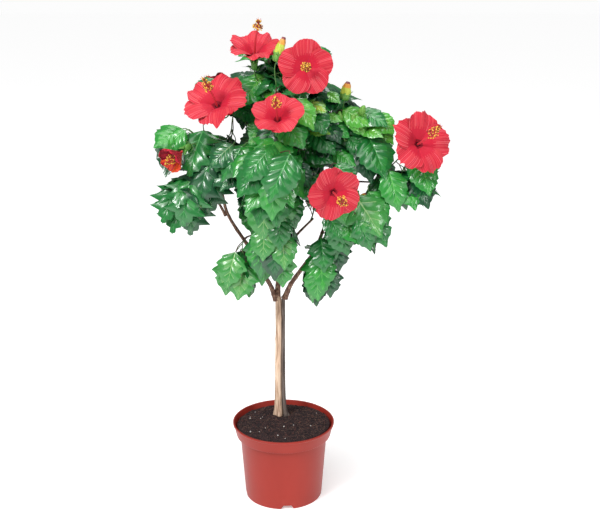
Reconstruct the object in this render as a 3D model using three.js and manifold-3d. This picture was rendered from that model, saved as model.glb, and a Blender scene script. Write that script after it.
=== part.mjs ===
// A hibiscus grown as a small tree: one upright trunk with a slim second stem pressed to its side, an open
// crown of lobed leaves and large blooms, and the round plastic pot of compost that it is sold in.
// Millimetres, +Z up. The origin is the middle of the pot's flat underside, and the crown's front faces -Y.
import * as THREE from 'three';
import Module from 'manifold-3d';
import { mergeVertices } from 'three/addons/utils/BufferGeometryUtils.js';

const wasm = await Module();
wasm.setup();

// Pot
const POT_HEIGHT = 148;
const POT_BASE_RADIUS = 72;
const POT_BODY_RADIUS = 82; // just under the collar
const COLLAR_HEIGHT = 25;
const COLLAR_FOOT_RADIUS = 88.5;
const RIM_RADIUS = 95;
const WALL = 1.8;
const GUTTER_HEIGHT = 9; // a raised ring under the pot that leads water to the notches
const GUTTER_INNER = 50;
const GUTTER_OUTER = 66;
const FLOOR_TOP = GUTTER_HEIGHT + WALL; // over the gutter, where the wall begins
const NOTCH_COUNT = 4;
const NOTCH_TURN = 6; // degrees from the front
const NOTCH_HEIGHT = 7.5;
const NOTCH_FOOT = 24;
const NOTCH_TOP = 15;
const POT_SEGMENTS = 24;

// Compost: a low mound that is level round the stems
const SOIL_TOP = 150;
const SOIL_LEVEL_RADIUS = 38;
const SOIL_EDGE = 139;

// Stems and boughs
const STEM_FOOT = SOIL_TOP + 0.4;
const FORK = 386;
const STEM_DEPTH = 20; // how far behind the pot's middle the stems stand
const GAP = 0.35; // left between pieces that touch
const LIMB_SIDES = 9;
const LIMB_STEPS = 6;

// Foliage
const MASS_DETAIL = 2;
const MASS_GAP = 1; // a lobed surface leans, so it is grown by more than the gap
const TURN_BETWEEN_MASSES = 1.7; // radians between one mass's lobes and the next one's
const LOBE_DEPTH = 0.2; // how far leaf tips push a mass out or in, as a part of its size

const PAINT = {
  pot: { color: 0xc0483c, roughness: 0.45 },
  compost: { color: 0x2b2021, roughness: 0.95 },
  bark: { color: 0xb79a78, roughness: 0.85 },
  greyBark: { color: 0x77706a, roughness: 0.85 },
  youngBark: { color: 0x6e4434, roughness: 0.8 },
  leaf: { color: 0x2f8a34, roughness: 0.4 },
  bloom: { color: 0xdc3746, roughness: 0.7 },
};

// ---------- solids ----------

function toSolid(geometry) {
  const bare = geometry.clone();
  bare.deleteAttribute('normal');
  bare.deleteAttribute('uv');
  const merged = mergeVertices(bare, 1e-3);
  const mesh = new wasm.Mesh({
    numProp: 3,
    vertProperties: merged.attributes.position.array,
    triVerts: new Uint32Array(merged.index.array),
  });
  return new wasm.Manifold(mesh);
}

function toGeometry(solid) {
  const { vertProperties, triVerts } = solid.getMesh();
  const geometry = new THREE.BufferGeometry();
  geometry.setAttribute('position', new THREE.BufferAttribute(vertProperties, 3));
  geometry.setIndex(new THREE.BufferAttribute(triVerts, 1));
  const faceted = geometry.toNonIndexed();
  faceted.computeVertexNormals();
  return faceted;
}

// The largest single body left after a cut.
function largestPiece(solid) {
  return solid.decompose().reduce((best, piece) => (piece.volume() > best.volume() ? piece : best));
}

// ---------- pot and compost ----------

// The outer radius of the upright wall at a height below the collar.
function wallRadius(height) {
  const share = height / (POT_HEIGHT - COLLAR_HEIGHT);
  return THREE.MathUtils.lerp(POT_BASE_RADIUS, POT_BODY_RADIUS, share);
}

// The pot is one moulding, made here as two bodies: the wall with its collar, which is an open ring, and
// the floor that it stands on. Each section runs round its body's outside and back along its inside.
function wallProfile() {
  const collarFoot = POT_HEIGHT - COLLAR_HEIGHT;
  const foot = FLOOR_TOP + GAP;
  const points = [
    [wallRadius(foot) - WALL, foot],
    [wallRadius(foot), foot],
    [POT_BODY_RADIUS, collarFoot],
    [COLLAR_FOOT_RADIUS, collarFoot],
    [RIM_RADIUS, POT_HEIGHT],
    [RIM_RADIUS - 2 * WALL, POT_HEIGHT],
    [COLLAR_FOOT_RADIUS - WALL, collarFoot + WALL + 2],
    [POT_BODY_RADIUS - WALL, collarFoot - WALL],
    [wallRadius(foot) - WALL, foot],
  ];
  return points.map(([r, z]) => new THREE.Vector2(r, z));
}

function floorProfile() {
  const points = [
    [0, 0],
    [GUTTER_INNER, 0],
    [GUTTER_INNER + 2, GUTTER_HEIGHT],
    [GUTTER_OUTER - 1, GUTTER_HEIGHT],
    [GUTTER_OUTER, 0],
    [POT_BASE_RADIUS, 0],
    [wallRadius(FLOOR_TOP), FLOOR_TOP],
    [GUTTER_INNER, FLOOR_TOP],
    [GUTTER_INNER - WALL, WALL],
    [0, WALL],
  ];
  return points.map(([r, z]) => new THREE.Vector2(r, z));
}

function turned(profile) {
  return new THREE.LatheGeometry(profile, POT_SEGMENTS).rotateX(Math.PI / 2);
}

// A drain notch: a trapezium cut through the foot ring, as deep as the gutter behind it.
function notch(turn) {
  const outline = new THREE.Shape([
    new THREE.Vector2(-NOTCH_FOOT / 2, -1),
    new THREE.Vector2(NOTCH_FOOT / 2, -1),
    new THREE.Vector2(NOTCH_TOP / 2, NOTCH_HEIGHT),
    new THREE.Vector2(-NOTCH_TOP / 2, NOTCH_HEIGHT),
  ]);
  const depth = POT_BASE_RADIUS - GUTTER_INNER;
  return new THREE.ExtrudeGeometry(outline, { depth, bevelEnabled: false })
    .rotateX(Math.PI / 2)
    .translate(0, -(GUTTER_INNER + 3), 0)
    .rotateZ(turn);
}

function floorSolid() {
  let solid = toSolid(turned(floorProfile()));
  for (let i = 0; i < NOTCH_COUNT; i += 1) {
    const turn = THREE.MathUtils.degToRad(NOTCH_TURN + (i * 360) / NOTCH_COUNT);
    solid = solid.subtract(toSolid(notch(turn)));
  }
  return solid;
}

// The compost fills the pot from its floor to a mound at the stems.
function soilProfile() {
  const collarFoot = POT_HEIGHT - COLLAR_HEIGHT;
  const points = [
    [0, WALL + GAP],
    [GUTTER_INNER - WALL - 1, WALL + GAP],
    [GUTTER_INNER - 1, FLOOR_TOP + 1],
    [POT_BASE_RADIUS - WALL - 0.8, FLOOR_TOP + 1],
    [POT_BODY_RADIUS - WALL - 0.8, collarFoot - WALL],
    [COLLAR_FOOT_RADIUS - WALL - 0.8, collarFoot + WALL + 3],
    [RIM_RADIUS - 2 * WALL - 3.2, SOIL_EDGE],
    [SOIL_LEVEL_RADIUS, SOIL_TOP],
    [0, SOIL_TOP],
  ];
  return points.map(([r, z]) => new THREE.Vector2(r, z));
}

// ---------- limbs ----------

// A limb is turned as a straight tapering rod and then laid along its curve. `flare` widens its foot.
// `grow` makes it fatter and longer all round, for cutting room into a neighbour.
function limbSolid({ path, from, to, flare = 0 }, grow = 0) {
  const curve = new THREE.CatmullRomCurve3(path.map((p) => new THREE.Vector3(...p)));
  const profile = [new THREE.Vector2(0, 0)];
  for (let i = 0; i <= LIMB_STEPS; i += 1) {
    const t = i / LIMB_STEPS;
    const foot = flare * Math.exp(-t * 14);
    profile.push(new THREE.Vector2(THREE.MathUtils.lerp(from, to, t) + foot + grow, t));
  }
  profile.push(new THREE.Vector2(0, 1));
  const rod = new THREE.LatheGeometry(profile, LIMB_SIDES);
  const start = new THREE.Vector3(0, 0, 1);
  const place = rod.attributes.position;
  const turn = new THREE.Quaternion();
  for (let i = 0; i < place.count; i += 1) {
    const t = place.getY(i);
    const ahead = curve.getTangentAt(t);
    const upright = flare > 0 && t === 0 ? start : ahead;
    turn.setFromUnitVectors(start, upright);
    const across = new THREE.Vector3(-place.getX(i), place.getZ(i), 0).applyQuaternion(turn);
    const reach = grow * (t === 0 ? -1 : t === 1 ? 1 : 0);
    const centre = curve.getPointAt(t).addScaledVector(upright, reach);
    place.setXYZ(i, centre.x + across.x, centre.y + across.y, centre.z + across.z);
  }
  return toSolid(rod);
}

// ---------- foliage ----------

// A mass of leaves: a ball pushed out and in by broad lobes that its own turn sets, so that no two masses
// are alike, then stretched to its half sizes. `grow` swells it, for cutting room into a neighbour.
function massSolid({ at, half, turn }, grow = 0) {
  const ball = new THREE.IcosahedronGeometry(1, MASS_DETAIL);
  const place = ball.attributes.position;
  const ray = new THREE.Vector3();
  for (let i = 0; i < place.count; i += 1) {
    ray.fromBufferAttribute(place, i).normalize();
    const lobes =
      Math.sin(4.6 * ray.x + turn) * Math.cos(4.1 * ray.y - 2 * turn) +
      0.7 * Math.sin(5.9 * ray.z + 3 * turn + 2.2 * ray.x);
    ray.multiplyScalar(1 + LOBE_DEPTH * lobes);
    place.setXYZ(i, ray.x, ray.y, ray.z);
  }
  ball.computeBoundingBox();
  const reach = ball.boundingBox.getSize(new THREE.Vector3()).divideScalar(2);
  const middle = ball.boundingBox.getCenter(new THREE.Vector3());
  ball.translate(-middle.x, -middle.y, -middle.z);
  ball.scale((half[0] + grow) / reach.x, (half[1] + grow) / reach.y, (half[2] + grow) / reach.z);
  return toSolid(ball.translate(...at));
}

// ---------- the plant's parts ----------

const STEMS = [
  {
    name: 'trunk', paint: 'bark', from: 6.6, to: 5.4, flare: 2.6,
    path: [[-10, STEM_DEPTH, STEM_FOOT], [-10, STEM_DEPTH, 250], [-9, STEM_DEPTH, FORK]],
  },
  {
    name: 'second_stem', paint: 'greyBark', from: 4.1, to: 3.8, flare: 1.4,
    path: [[5, 17, STEM_FOOT], [1, 19, 185], [0.4, STEM_DEPTH, 280], [0.8, STEM_DEPTH, FORK + 6]],
  },
];

// Each bough starts inside the limb that bears it and runs to the mass that hides its end.
const BOUGHS = [
  {
    name: 'left_bough', from: 4.4, to: 2.6,
    path: [
      [-10, 20, FORK - 9], [-24, 15, 412], [-43, 11, 445],
      [-62, 7, 486], [-98, -14, 552], [-108, -22, 600],
    ],
  },
  {
    name: 'centre_bough', from: 4.6, to: 2.6,
    path: [[-9, 20, FORK - 6], [-6, 30, 430], [0, 35, 520], [5, 36, 630], [9, 46, 752]],
  },
  {
    name: 'right_bough', from: 3.9, to: 2.6,
    path: [[1, 20, FORK], [14, 17, 416], [32, 13, 446], [54, 5, 482], [71, 0, 508], [106, -24, 534]],
  },
  {
    name: 'left_outer_bough', from: 2.3, to: 1.8,
    path: [[-93, -11, 545], [-112, -20, 572], [-134, -34, 604]],
  },
  {
    name: 'right_upper_bough', from: 2.6, to: 1.9,
    path: [[66, 2, 500], [84, 8, 556], [103, -4, 645]],
  },
  {
    name: 'right_outer_bough', from: 2, to: 1.6,
    path: [[89, 6, 582], [122, 0, 606], [160, -20, 612]],
  },
  {
    name: 'back_left_bough', from: 2.8, to: 2,
    path: [[-5, 32, 450], [-26, 52, 492], [-52, 78, 516]],
  },
  {
    name: 'back_right_bough', from: 2.8, to: 2,
    path: [[-3, 33, 470], [26, 52, 500], [62, 78, 522]],
  },
  {
    name: 'back_bough', from: 2.8, to: 2,
    path: [[2, 35, 560], [-6, 70, 600], [-12, 108, 625]],
  },
  {
    name: 'upper_left_bough', from: 2.4, to: 1.8,
    path: [[5, 36, 620], [-28, 44, 668], [-66, 58, 702]],
  },
  {
    name: 'upper_right_bough', from: 2.4, to: 1.8,
    path: [[6, 38, 650], [22, 64, 680], [32, 96, 700]],
  },
  {
    name: 'front_bough', from: 2.4, to: 1.8,
    path: [[4, 36, 600], [-2, -10, 634], [-12, -70, 652]],
  },
];

// The masses of leaves and blooms. A mass is cut back from those before it in this list.
const MASSES = [
  { name: 'crown_tip', holds: 'bloom', at: [-45, -45, 852], half: [44, 40, 44] },
  { name: 'top_left_leaves', holds: 'leaf', at: [-28, -28, 788], half: [38, 46, 40] },
  { name: 'top_right_bloom', holds: 'bloom', at: [41, -85, 822], half: [45, 40, 49] },
  { name: 'upper_left_bloom', holds: 'bloom', at: [-105, -75, 772], half: [53, 50, 46] },
  { name: 'upper_front_bloom', holds: 'bloom', at: [-5, -120, 730], half: [64, 54, 50] },
  { name: 'upper_right_leaves', holds: 'leaf', at: [64, -50, 736], half: [30, 50, 46] },
  { name: 'left_tip', holds: 'leaf', at: [-172, -75, 698], half: [52, 42, 44] },
  { name: 'left_leaves', holds: 'leaf', at: [-100, -45, 648], half: [44, 58, 58] },
  { name: 'left_hanging_leaves', holds: 'leaf', at: [-172, -50, 588], half: [52, 44, 68] },
  { name: 'front_leaves', holds: 'leaf', at: [-20, -110, 625], half: [66, 56, 72] },
  { name: 'bud_spray', holds: 'leaf', at: [117, -35, 742], half: [28, 34, 50] },
  { name: 'right_leaves', holds: 'leaf', at: [112, -25, 668], half: [36, 52, 36] },
  { name: 'right_upper_leaves', holds: 'leaf', at: [167, -10, 697], half: [33, 48, 42] },
  { name: 'far_right_bloom', holds: 'bloom', at: [238, -60, 698], half: [47, 44, 51] },
  { name: 'right_hanging_leaves', holds: 'leaf', at: [212, -40, 604], half: [69, 46, 46] },
  { name: 'low_front_bloom', holds: 'bloom', at: [85, -125, 623], half: [45, 40, 45] },
  { name: 'lower_right_leaves', holds: 'leaf', at: [137, -60, 531], half: [64, 48, 46] },
  { name: 'lower_front_leaves', holds: 'leaf', at: [-10, -55, 500], half: [44, 42, 76] },
  { name: 'lower_left_leaves', holds: 'leaf', at: [-72, -40, 447], half: [43, 38, 52] },
  { name: 'low_hanging_leaves', holds: 'leaf', at: [64, -36, 452], half: [40, 34, 66] },
  { name: 'back_top_leaves', holds: 'leaf', at: [10, 60, 782], half: [54, 56, 44] },
  { name: 'back_upper_left_leaves', holds: 'leaf', at: [-88, 70, 722], half: [50, 60, 44] },
  { name: 'back_upper_right_leaves', holds: 'leaf', at: [42, 120, 712], half: [52, 66, 56] },
  { name: 'back_leaves', holds: 'leaf', at: [-12, 150, 620], half: [76, 60, 70] },
  { name: 'back_left_leaves', holds: 'leaf', at: [-140, 70, 612], half: [60, 60, 50] },
  { name: 'back_right_leaves', holds: 'leaf', at: [175, 70, 600], half: [60, 58, 44] },
  { name: 'back_low_left_leaves', holds: 'leaf', at: [-62, 90, 520], half: [52, 55, 50] },
  { name: 'back_low_right_leaves', holds: 'leaf', at: [84, 90, 520], half: [54, 52, 48] },
];

// ---------- assembly ----------

const plant = new THREE.Group();

function addPart(name, solid, paint) {
  const mesh = new THREE.Mesh(toGeometry(solid), new THREE.MeshStandardMaterial(PAINT[paint]));
  mesh.name = name;
  plant.add(mesh);
}

// Cuts `solid` back from every grown neighbour that it reaches, and keeps the main body that is left.
function clearOf(solid, neighbours) {
  return largestPiece(neighbours.reduce((left, neighbour) => left.subtract(neighbour), solid));
}

addPart('pot', toSolid(turned(wallProfile())), 'pot');
addPart('pot_floor', floorSolid(), 'pot');
addPart('compost', toSolid(turned(soilProfile())), 'compost');

const stemRoom = [];
for (const stem of STEMS) {
  addPart(stem.name, clearOf(limbSolid(stem), stemRoom), stem.paint);
  stemRoom.push(limbSolid(stem, GAP));
}

const massRoom = [];
for (const [i, mass] of MASSES.entries()) {
  const shape = { ...mass, turn: i * TURN_BETWEEN_MASSES };
  addPart(mass.name, clearOf(massSolid(shape), massRoom), mass.holds);
  massRoom.push(massSolid(shape, MASS_GAP));
}

const limbRoom = [...stemRoom];
for (const bough of BOUGHS) {
  addPart(bough.name, clearOf(limbSolid(bough), [...limbRoom, ...massRoom]), 'youngBark');
  limbRoom.push(limbSolid(bough, GAP));
}

export default plant;
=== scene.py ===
import math
import random

import bpy
from mathutils import Matrix, Vector, noise


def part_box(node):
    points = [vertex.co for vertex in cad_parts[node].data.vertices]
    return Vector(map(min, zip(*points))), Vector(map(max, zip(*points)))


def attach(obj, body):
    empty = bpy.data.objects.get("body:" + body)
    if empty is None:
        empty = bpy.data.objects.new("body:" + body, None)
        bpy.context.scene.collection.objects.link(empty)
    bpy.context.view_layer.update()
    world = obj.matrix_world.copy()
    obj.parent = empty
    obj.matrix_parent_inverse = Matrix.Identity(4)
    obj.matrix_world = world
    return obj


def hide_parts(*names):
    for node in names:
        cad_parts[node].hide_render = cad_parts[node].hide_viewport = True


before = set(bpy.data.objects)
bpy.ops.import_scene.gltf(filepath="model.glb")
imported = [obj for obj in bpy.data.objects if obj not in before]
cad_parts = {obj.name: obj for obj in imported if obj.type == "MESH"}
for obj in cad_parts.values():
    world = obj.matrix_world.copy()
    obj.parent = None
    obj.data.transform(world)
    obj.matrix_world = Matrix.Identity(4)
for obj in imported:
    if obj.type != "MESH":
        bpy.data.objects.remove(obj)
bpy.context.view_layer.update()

UP = Vector((0, 0, 1))
VIEWER = Vector((0, -1, 0))  # the crown's front faces -Y


# ---- Pot ---------------------------------------------------------------------------------------
# An injection-moulded nursery pot in terracotta-red polypropylene. The wall is thin, a plain collar
# stiffens the rim, and the foot ring is notched in four places to let water out from under the base.

pot_low, pot_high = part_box("pot")
RIM_RADIUS = (pot_high.x - pot_low.x) / 2
POT_HEIGHT = pot_high.z
BODY_RADIUS = RIM_RADIUS * 0.863
BASE_RADIUS = RIM_RADIUS * 0.758
COLLAR_RADIUS = RIM_RADIUS * 0.932
COLLAR_FOOT = POT_HEIGHT - 0.025
WALL = 0.0018
GUTTER = (0.050, 0.066)  # inner and outer radius of the raised ring under the base
GUTTER_HEIGHT = 0.009
NOTCH_HEIGHT = 0.0075
NOTCH_FOOT = 0.024
NOTCH_TOP = 0.015
NOTCH_TURN = math.radians(6)
POT_SPOKES = 240


class Heap:
    """The points, faces and finishes of one kind of piece, gathered until they are made one mesh."""

    def __init__(self, name, *finishes):
        self.name = name
        self.finishes = finishes
        self.points = []
        self.faces = []
        self.paint = []

    def add(self, points, faces, paint=0):
        start = len(self.points)
        self.points.extend(points)
        self.faces.extend(tuple(start + i for i in face) for face in faces)
        self.paint.extend([paint] * len(faces) if isinstance(paint, int) else paint)

    def make(self, slot, *stands_for):
        mesh = bpy.data.meshes.new(self.name)
        mesh.from_pydata(self.points, [], self.faces)
        for finish in self.finishes:
            mesh.materials.append(finish)
        mesh.polygons.foreach_set("material_index", self.paint)
        mesh.polygons.foreach_set("use_smooth", [True] * len(self.faces))
        mesh.update()
        piece = bpy.data.objects.new(self.name, mesh)
        bpy.context.scene.collection.objects.link(piece)
        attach(piece, "root")
        if stands_for:
            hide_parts(*stands_for)
        return piece


def finish(name, colour, roughness, coat=0.0, coat_roughness=0.2, sheen=0.0, subsurface=0.0, specular=0.5,
           glow=0.0):
    """A finish of one even colour. Its gloss, coat and sheen are set on the shader itself."""
    material = bpy.data.materials.new(name)
    material.use_nodes = True
    shader = material.node_tree.nodes["Principled BSDF"]
    shader.inputs["Base Color"].default_value = (*colour, 1)
    shader.inputs["Roughness"].default_value = roughness
    shader.inputs["Specular IOR Level"].default_value = specular
    shader.inputs["Emission Color"].default_value = (1, 1, 1, 1)
    shader.inputs["Emission Strength"].default_value = glow
    shader.inputs["Coat Weight"].default_value = coat
    shader.inputs["Coat Roughness"].default_value = coat_roughness
    shader.inputs["Sheen Weight"].default_value = sheen
    shader.inputs["Subsurface Weight"].default_value = subsurface
    shader.inputs["Subsurface Scale"].default_value = 0.002
    return material


def mottle(material, colours, scale, stretch=(1, 1, 1), detail=4.0, spread=(0.35, 0.65)):
    """Runs a noise over the surface between two or more colours, and returns the noise."""
    nodes = material.node_tree.nodes
    links = material.node_tree.links
    place = nodes.new("ShaderNodeTexCoord")
    squeeze = nodes.new("ShaderNodeMapping")
    grain = nodes.new("ShaderNodeTexNoise")
    ramp = nodes.new("ShaderNodeValToRGB")
    squeeze.inputs["Scale"].default_value = stretch
    grain.inputs["Scale"].default_value = scale
    grain.inputs["Detail"].default_value = detail
    stops = ramp.color_ramp.elements
    while len(stops) < len(colours):
        stops.new(0.5)
    for i, colour in enumerate(colours):
        stops[i].position = spread[0] + (spread[1] - spread[0]) * i / (len(colours) - 1)
        stops[i].color = (*colour, 1)
    links.new(place.outputs["Object"], squeeze.inputs["Vector"])
    links.new(squeeze.outputs["Vector"], grain.inputs["Vector"])
    links.new(grain.outputs["Fac"], ramp.inputs["Fac"])
    links.new(ramp.outputs["Color"], nodes["Principled BSDF"].inputs["Base Color"])
    return grain


def emboss(material, scale, depth, stretch=(1, 1, 1), detail=3.0, roughness=None):
    """Adds a fine relief to a finish and, if asked, lets its roughness vary between two values."""
    nodes = material.node_tree.nodes
    links = material.node_tree.links
    place = nodes.new("ShaderNodeTexCoord")
    squeeze = nodes.new("ShaderNodeMapping")
    grain = nodes.new("ShaderNodeTexNoise")
    relief = nodes.new("ShaderNodeBump")
    squeeze.inputs["Scale"].default_value = stretch
    grain.inputs["Scale"].default_value = scale
    grain.inputs["Detail"].default_value = detail
    relief.inputs["Distance"].default_value = depth
    links.new(place.outputs["Object"], squeeze.inputs["Vector"])
    links.new(squeeze.outputs["Vector"], grain.inputs["Vector"])
    links.new(grain.outputs["Fac"], relief.inputs["Height"])
    links.new(relief.outputs["Normal"], nodes["Principled BSDF"].inputs["Normal"])
    if roughness:
        span = nodes.new("ShaderNodeMapRange")
        span.inputs["To Min"].default_value, span.inputs["To Max"].default_value = roughness
        links.new(grain.outputs["Fac"], span.inputs["Value"])
        links.new(span.outputs["Result"], nodes["Principled BSDF"].inputs["Roughness"])


def eased(corners, radius, steps=4):
    """A turned section with each corner rounded by a small curve."""
    path = [corners[0]]
    for before, corner, after in zip(corners, corners[1:], corners[2:]):
        here = Vector(corner)
        to, away = Vector(before) - here, Vector(after) - here
        reach = min(radius, 0.45 * to.length, 0.45 * away.length)
        start, end = here + to.normalized() * reach, here + away.normalized() * reach
        for i in range(steps + 1):
            t = i / steps
            path.append(tuple(start * (1 - t) ** 2 + here * 2 * t * (1 - t) + end * t * t))
    path.append(corners[-1])
    return path


def turned(section, spokes, shape=lambda angle, r, z: (r, z)):
    """Turns a section that starts and ends on the axis. shape may move a point by its angle."""
    points = [Vector((0, 0, section[0][1])), Vector((0, 0, section[-1][1]))]
    faces = []
    rings = section[1:-1]
    for k in range(spokes):
        angle = 2 * math.pi * k / spokes
        for r, z in rings:
            r, z = shape(angle, r, z)
            points.append(Vector((r * math.cos(angle), r * math.sin(angle), z)))
    for k in range(spokes):
        here, after = 2 + k * len(rings), 2 + (k + 1) % spokes * len(rings)
        faces.append((0, here, after))
        for i in range(len(rings) - 1):
            faces.append((here + i, here + i + 1, after + i + 1, after + i))
        faces.append((here + len(rings) - 1, 1, after + len(rings) - 1))
    return points, [face[::-1] for face in faces]


def notched(angle, r, z):
    """Lifts the foot ring over each drain notch."""
    if r < GUTTER[1] - 0.001 or z >= NOTCH_HEIGHT:
        return r, z
    quarter = math.pi / 2
    off = (angle + quarter - NOTCH_TURN + quarter / 2) % quarter - quarter / 2
    beyond = abs(off) * BASE_RADIUS - NOTCH_TOP / 2
    slope = (NOTCH_FOOT - NOTCH_TOP) / 2
    return r, max(z, NOTCH_HEIGHT * min(1.0, max(0.0, 1 - beyond / slope)))


pot_section = [
    (0, 0),
    (GUTTER[0], 0),
    (GUTTER[0] + 0.002, GUTTER_HEIGHT),
    (GUTTER[1] - 0.001, GUTTER_HEIGHT),
    (GUTTER[1], 0),
    (BASE_RADIUS - 0.0004, 0),
    (BASE_RADIUS, 0.0016),
    (BASE_RADIUS + 0.0007, NOTCH_HEIGHT + 0.0015),
    (BODY_RADIUS - 0.0008, COLLAR_FOOT - 0.002),
    (BODY_RADIUS + 0.0006, COLLAR_FOOT),
    (COLLAR_RADIUS - 0.0006, COLLAR_FOOT),
    (COLLAR_RADIUS, COLLAR_FOOT + 0.0012),
    (RIM_RADIUS - 0.0016, POT_HEIGHT - 0.0042),
    (RIM_RADIUS - 0.0002, POT_HEIGHT - 0.0034),
    (RIM_RADIUS, POT_HEIGHT),
    (RIM_RADIUS - 0.0032, POT_HEIGHT),
    (COLLAR_RADIUS - WALL, COLLAR_FOOT + 0.004),
    (BODY_RADIUS - WALL, COLLAR_FOOT - WALL),
    (BASE_RADIUS - WALL, GUTTER_HEIGHT + WALL),
    (GUTTER[0], GUTTER_HEIGHT + WALL),
    (GUTTER[0] - WALL, WALL),
    (0, WALL),
]

red_plastic = finish("terracotta_red_plastic", (0.32, 0.027, 0.017), 0.38, specular=0.3)
mottle(red_plastic, [(0.29, 0.024, 0.015), (0.35, 0.030, 0.019)], 9, (1, 1, 0.6))
emboss(red_plastic, 1400, 0.00006, roughness=(0.32, 0.48))
pot = Heap("nursery_pot", red_plastic)
pot.add(*turned(eased(pot_section, 0.0009), POT_SPOKES, notched))
pot.make("pot_plastic", "pot", "pot_floor")


# ---- Compost -----------------------------------------------------------------------------------
# A dark peat compost, heaped level round the stems and a little lower at the back of the rim. It is a
# crumbly bed with loose crumbs, fine root and peat fibres, and a few grains of white perlite on top.

soil_low, soil_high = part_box("compost")
SOIL_RADIUS = (soil_high.x - soil_low.x) / 2 - 0.0012
SOIL_TOP = soil_high.z
LEVEL_RADIUS = 0.038
SOIL_RINGS = 64
SOIL_SPOKES = 150
CRUMB_COUNT = 3600
FIBRE_COUNT = 380
PERLITE_COUNT = 15

rng = random.Random(11)


def soil_height(x, y):
    """The mound falls from the stems to the rim, least at the front and most at the back left."""
    r = math.hypot(x, y)
    t = max(0.0, (r - LEVEL_RADIUS) / (SOIL_RADIUS - LEVEL_RADIUS))
    lean = (0.55 * y - 0.35 * x) / SOIL_RADIUS
    edge = POT_HEIGHT - 0.0052 - 0.0048 * lean
    coarse = noise.fractal(Vector((x, y, 0)) * 55, 1.0, 2.0, 3) * 0.0013
    fine = noise.noise(Vector((x, y, 3)) * 420) * 0.0009
    settle = min(1.0, r / 0.012)
    return SOIL_TOP * (1 - t * t) + edge * t * t + (coarse + fine) * settle - 0.0006


def tuft(heap, centre, radius, paint, rng, squash=0.7):
    """One small broken lump: an octahedron with its corners knocked about."""
    corners = []
    for axis in ((1, 0, 0), (-1, 0, 0), (0, 1, 0), (0, -1, 0), (0, 0, squash), (0, 0, -squash)):
        corners.append(centre + Vector(axis) * radius * rng.uniform(0.6, 1.3))
    turn = Matrix.Rotation(rng.uniform(0, 6.3), 3, Vector((rng.random(), rng.random(), rng.random())))
    corners = [centre + turn @ (corner - centre) for corner in corners]
    sides = [(0, 2, 4), (2, 1, 4), (1, 3, 4), (3, 0, 4), (2, 0, 5), (1, 2, 5), (3, 1, 5), (0, 3, 5)]
    heap.add(corners, sides, paint)


def spline(knots, steps):
    """Even points on a smooth curve through the knots."""
    ends = [knots[0] * 2 - knots[1], *knots, knots[-1] * 2 - knots[-2]]
    path = []
    for a, b, c, d in zip(ends, ends[1:], ends[2:], ends[3:]):
        for i in range(steps):
            t = i / steps
            path.append(
                0.5 * (2 * b + (c - a) * t + (2 * a - 5 * b + 4 * c - d) * t * t
                       + (3 * b - a - 3 * c + d) * t ** 3)
            )
    path.append(knots[-1].copy())
    return path


def tube(heap, path, radii, sides, paint=0, shape=None):
    """A closed limb along a path. shape may swell it by ring and angle, as a share of its radius."""
    heading = (path[1] - path[0]).normalized()
    across = heading.orthogonal().normalized()
    points, faces = [], []
    for i, centre in enumerate(path):
        ahead = (path[min(i + 1, len(path) - 1)] - path[max(i - 1, 0)]).normalized()
        across = (across - ahead * across.dot(ahead)).normalized()
        beside = ahead.cross(across)
        for k in range(sides):
            angle = 2 * math.pi * k / sides
            swell = shape(i, angle) if shape else 1.0
            ray = across * math.cos(angle) + beside * math.sin(angle)
            points.append(centre + ray * radii[i] * swell)
    for i in range(len(path) - 1):
        for k in range(sides):
            after = (k + 1) % sides
            low, high = i * sides, (i + 1) * sides
            faces.append((low + k, low + after, high + after, high + k))
    if not isinstance(paint, int):
        paint = [paint[f // sides] for f in range(len(faces))] + [paint[0], paint[-1]]
    faces.append(tuple(reversed(range(sides))))
    faces.append(tuple(range(len(points) - sides, len(points))))
    heap.add(points, faces, paint)


soil_section = [(0, soil_low.z + 0.001), (GUTTER[0] - 0.004, soil_low.z + 0.001),
                (GUTTER[0] - 0.002, GUTTER_HEIGHT + 0.003), (BASE_RADIUS - 0.004, GUTTER_HEIGHT + 0.003),
                (BODY_RADIUS - 0.004, COLLAR_FOOT - 0.003), (SOIL_RADIUS, SOIL_TOP)]
for i in range(SOIL_RINGS - 1, 0, -1):
    soil_section.append((SOIL_RADIUS * i / SOIL_RINGS, SOIL_TOP))
soil_section.append((0, SOIL_TOP))


def mounded(angle, r, z):
    if z < SOIL_TOP:
        return r, z
    return r, soil_height(r * math.cos(angle), r * math.sin(angle))


peat = finish("damp_peat", (0.03, 0.018, 0.018), 0.95)
mottle(peat, [(0.007, 0.004, 0.005), (0.024, 0.012, 0.013), (0.055, 0.024, 0.022)], 260)
emboss(peat, 900, 0.0008, detail=6)
bed = Heap("compost_bed", peat)
bed.add(*turned(soil_section, SOIL_SPOKES, mounded))
bed.make("compost", "compost")

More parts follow.
